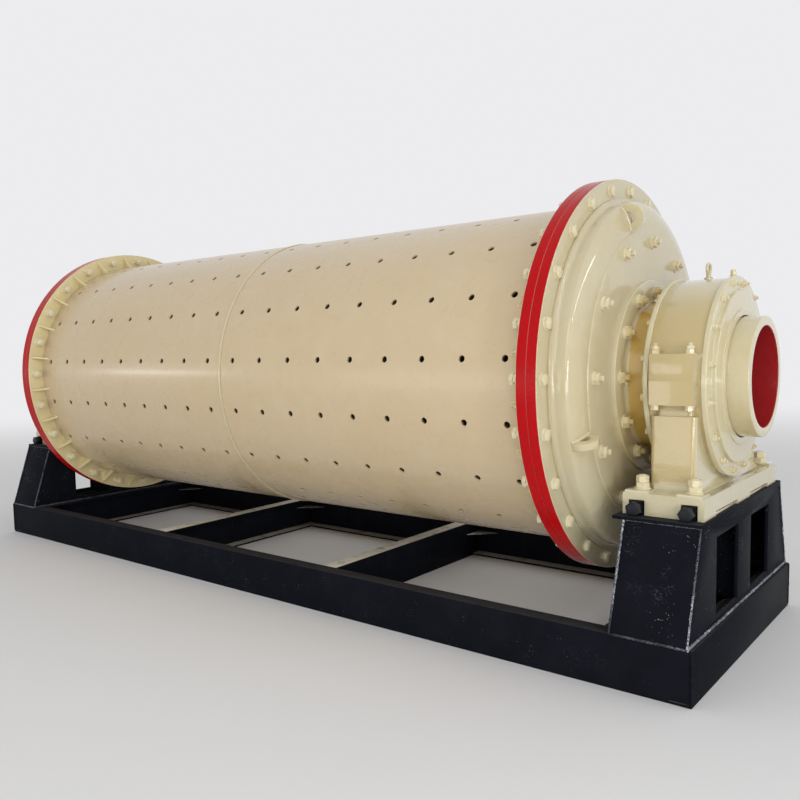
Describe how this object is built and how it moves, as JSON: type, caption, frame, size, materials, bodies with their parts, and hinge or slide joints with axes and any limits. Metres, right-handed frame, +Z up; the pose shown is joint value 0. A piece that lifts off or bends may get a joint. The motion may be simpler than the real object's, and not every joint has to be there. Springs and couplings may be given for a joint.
{
  "type": "ball mill",
  "caption": "Horizontal grinding drum with bolted flanges and open trunnion bores, turning in split bearing housings on windowed pedestals and a welded steel skid.",
  "frame": {"origin": "on the floor below the middle of the drum, at the centre of the skid's underside", "axes": "+X along the mill axis towards the discharge end, +Y across the skid to the back, +Z up"},
  "size_m": [6.144, 2.1278, 2.4838],
  "materials": {
    "mill_paint": "thick cream gloss paint",
    "frame_paint": "black gloss paint with dust",
    "bearing_steel": "ground steel"
  },
  "bodies": {
    "stand": {"feed_housing_base": "mill_paint", "discharge_housing_base": "mill_paint", "feed_housing_cap": "mill_paint", "discharge_housing_cap": "mill_paint", "feed_inner_cover": "mill_paint", "discharge_inner_cover": "mill_paint", "feed_outer_cover": "mill_paint", "discharge_outer_cover": "mill_paint", "feed_lifting_eye": "mill_paint", "discharge_lifting_eye": "mill_paint", "feed_jack_blocks": "frame_paint", "discharge_jack_blocks": "frame_paint", "feed_jack_screws": "frame_paint", "discharge_jack_screws": "frame_paint", "feed_top_plate": "frame_paint", "discharge_top_plate": "frame_paint", "feed_pedestal": "frame_paint", "discharge_pedestal": "frame_paint", "feed_end_beam": "frame_paint", "discharge_end_beam": "frame_paint", "feed_inner_beam": "frame_paint", "discharge_inner_beam": "frame_paint", "feed_cross_beam": "frame_paint", "discharge_cross_beam": "frame_paint", "front_side_beam": "frame_paint", "back_side_beam": "frame_paint", "corner_plates": "frame_paint", "feed_bearing": "bearing_steel", "discharge_bearing": "bearing_steel"},
    "drum": {"feed_shell": "mill_paint", "discharge_shell": "mill_paint", "feed_shell_flange": "mill_paint", "discharge_shell_flange": "mill_paint", "feed_head": "mill_paint", "discharge_head": "mill_paint", "feed_head_lugs": "mill_paint", "discharge_head_lugs": "mill_paint", "feed_trunnion": "mill_paint", "discharge_trunnion": "mill_paint"}
  },
  "joints": [
    {"name": "drum_spin", "type": "hinge", "parent": "stand", "child": "drum", "pos_m": [0, 0, 1.42], "axis": [1, 0, 0], "continuous": true}
  ]
}
